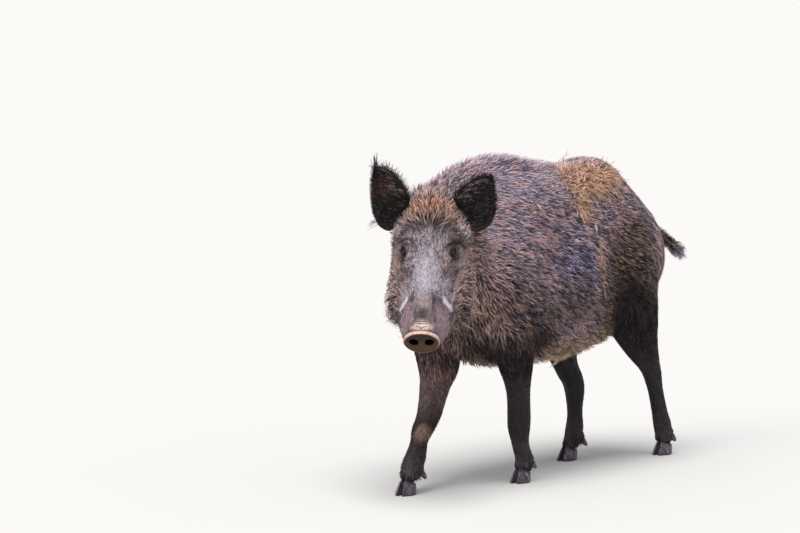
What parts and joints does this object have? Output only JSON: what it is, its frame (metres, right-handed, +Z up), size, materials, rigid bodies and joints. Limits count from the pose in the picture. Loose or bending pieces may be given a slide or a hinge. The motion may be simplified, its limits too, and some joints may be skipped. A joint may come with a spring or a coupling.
{
  "type": "wild boar",
  "caption": "Life-size wild boar sow walking with her head low and turned to her left, long snout, pricked ears, bristly dark coat.",
  "frame": {"origin": "middle of the bounding box, on the floor that the hooves stand on", "axes": "+Z up, the animal faces -Y and her left side is +X, +Y is along the body towards the rump"},
  "size_m": [0.3819, 1.2371, 0.7747],
  "materials": {
    "coat": "coarse bristles",
    "face": "short grey bristles",
    "dark": "short black bristles",
    "pad": "bare moist skin",
    "horn": "worn grey horn",
    "eye": "wet and dark"
  },
  "bodies": {
    "root": {"trunk": "coat", "neck": "coat", "head": "face", "snout_disc": "pad", "eye_left": "eye", "eye_right": "eye", "ear_left": "dark", "ear_right": "dark", "tail": "dark", "leg_front_left": "dark", "hoof_front_left_left": "horn", "dewclaw_front_left_left": "horn", "hoof_front_left_right": "horn", "dewclaw_front_left_right": "horn", "leg_front_right": "dark", "hoof_front_right_left": "horn", "dewclaw_front_right_left": "horn", "hoof_front_right_right": "horn", "dewclaw_front_right_right": "horn", "leg_hind_left": "dark", "hoof_hind_left_left": "horn", "dewclaw_hind_left_left": "horn", "hoof_hind_left_right": "horn", "dewclaw_hind_left_right": "horn", "leg_hind_right": "dark", "hoof_hind_right_left": "horn", "dewclaw_hind_right_left": "horn", "hoof_hind_right_right": "horn", "dewclaw_hind_right_right": "horn"}
  },
  "joints": []
}
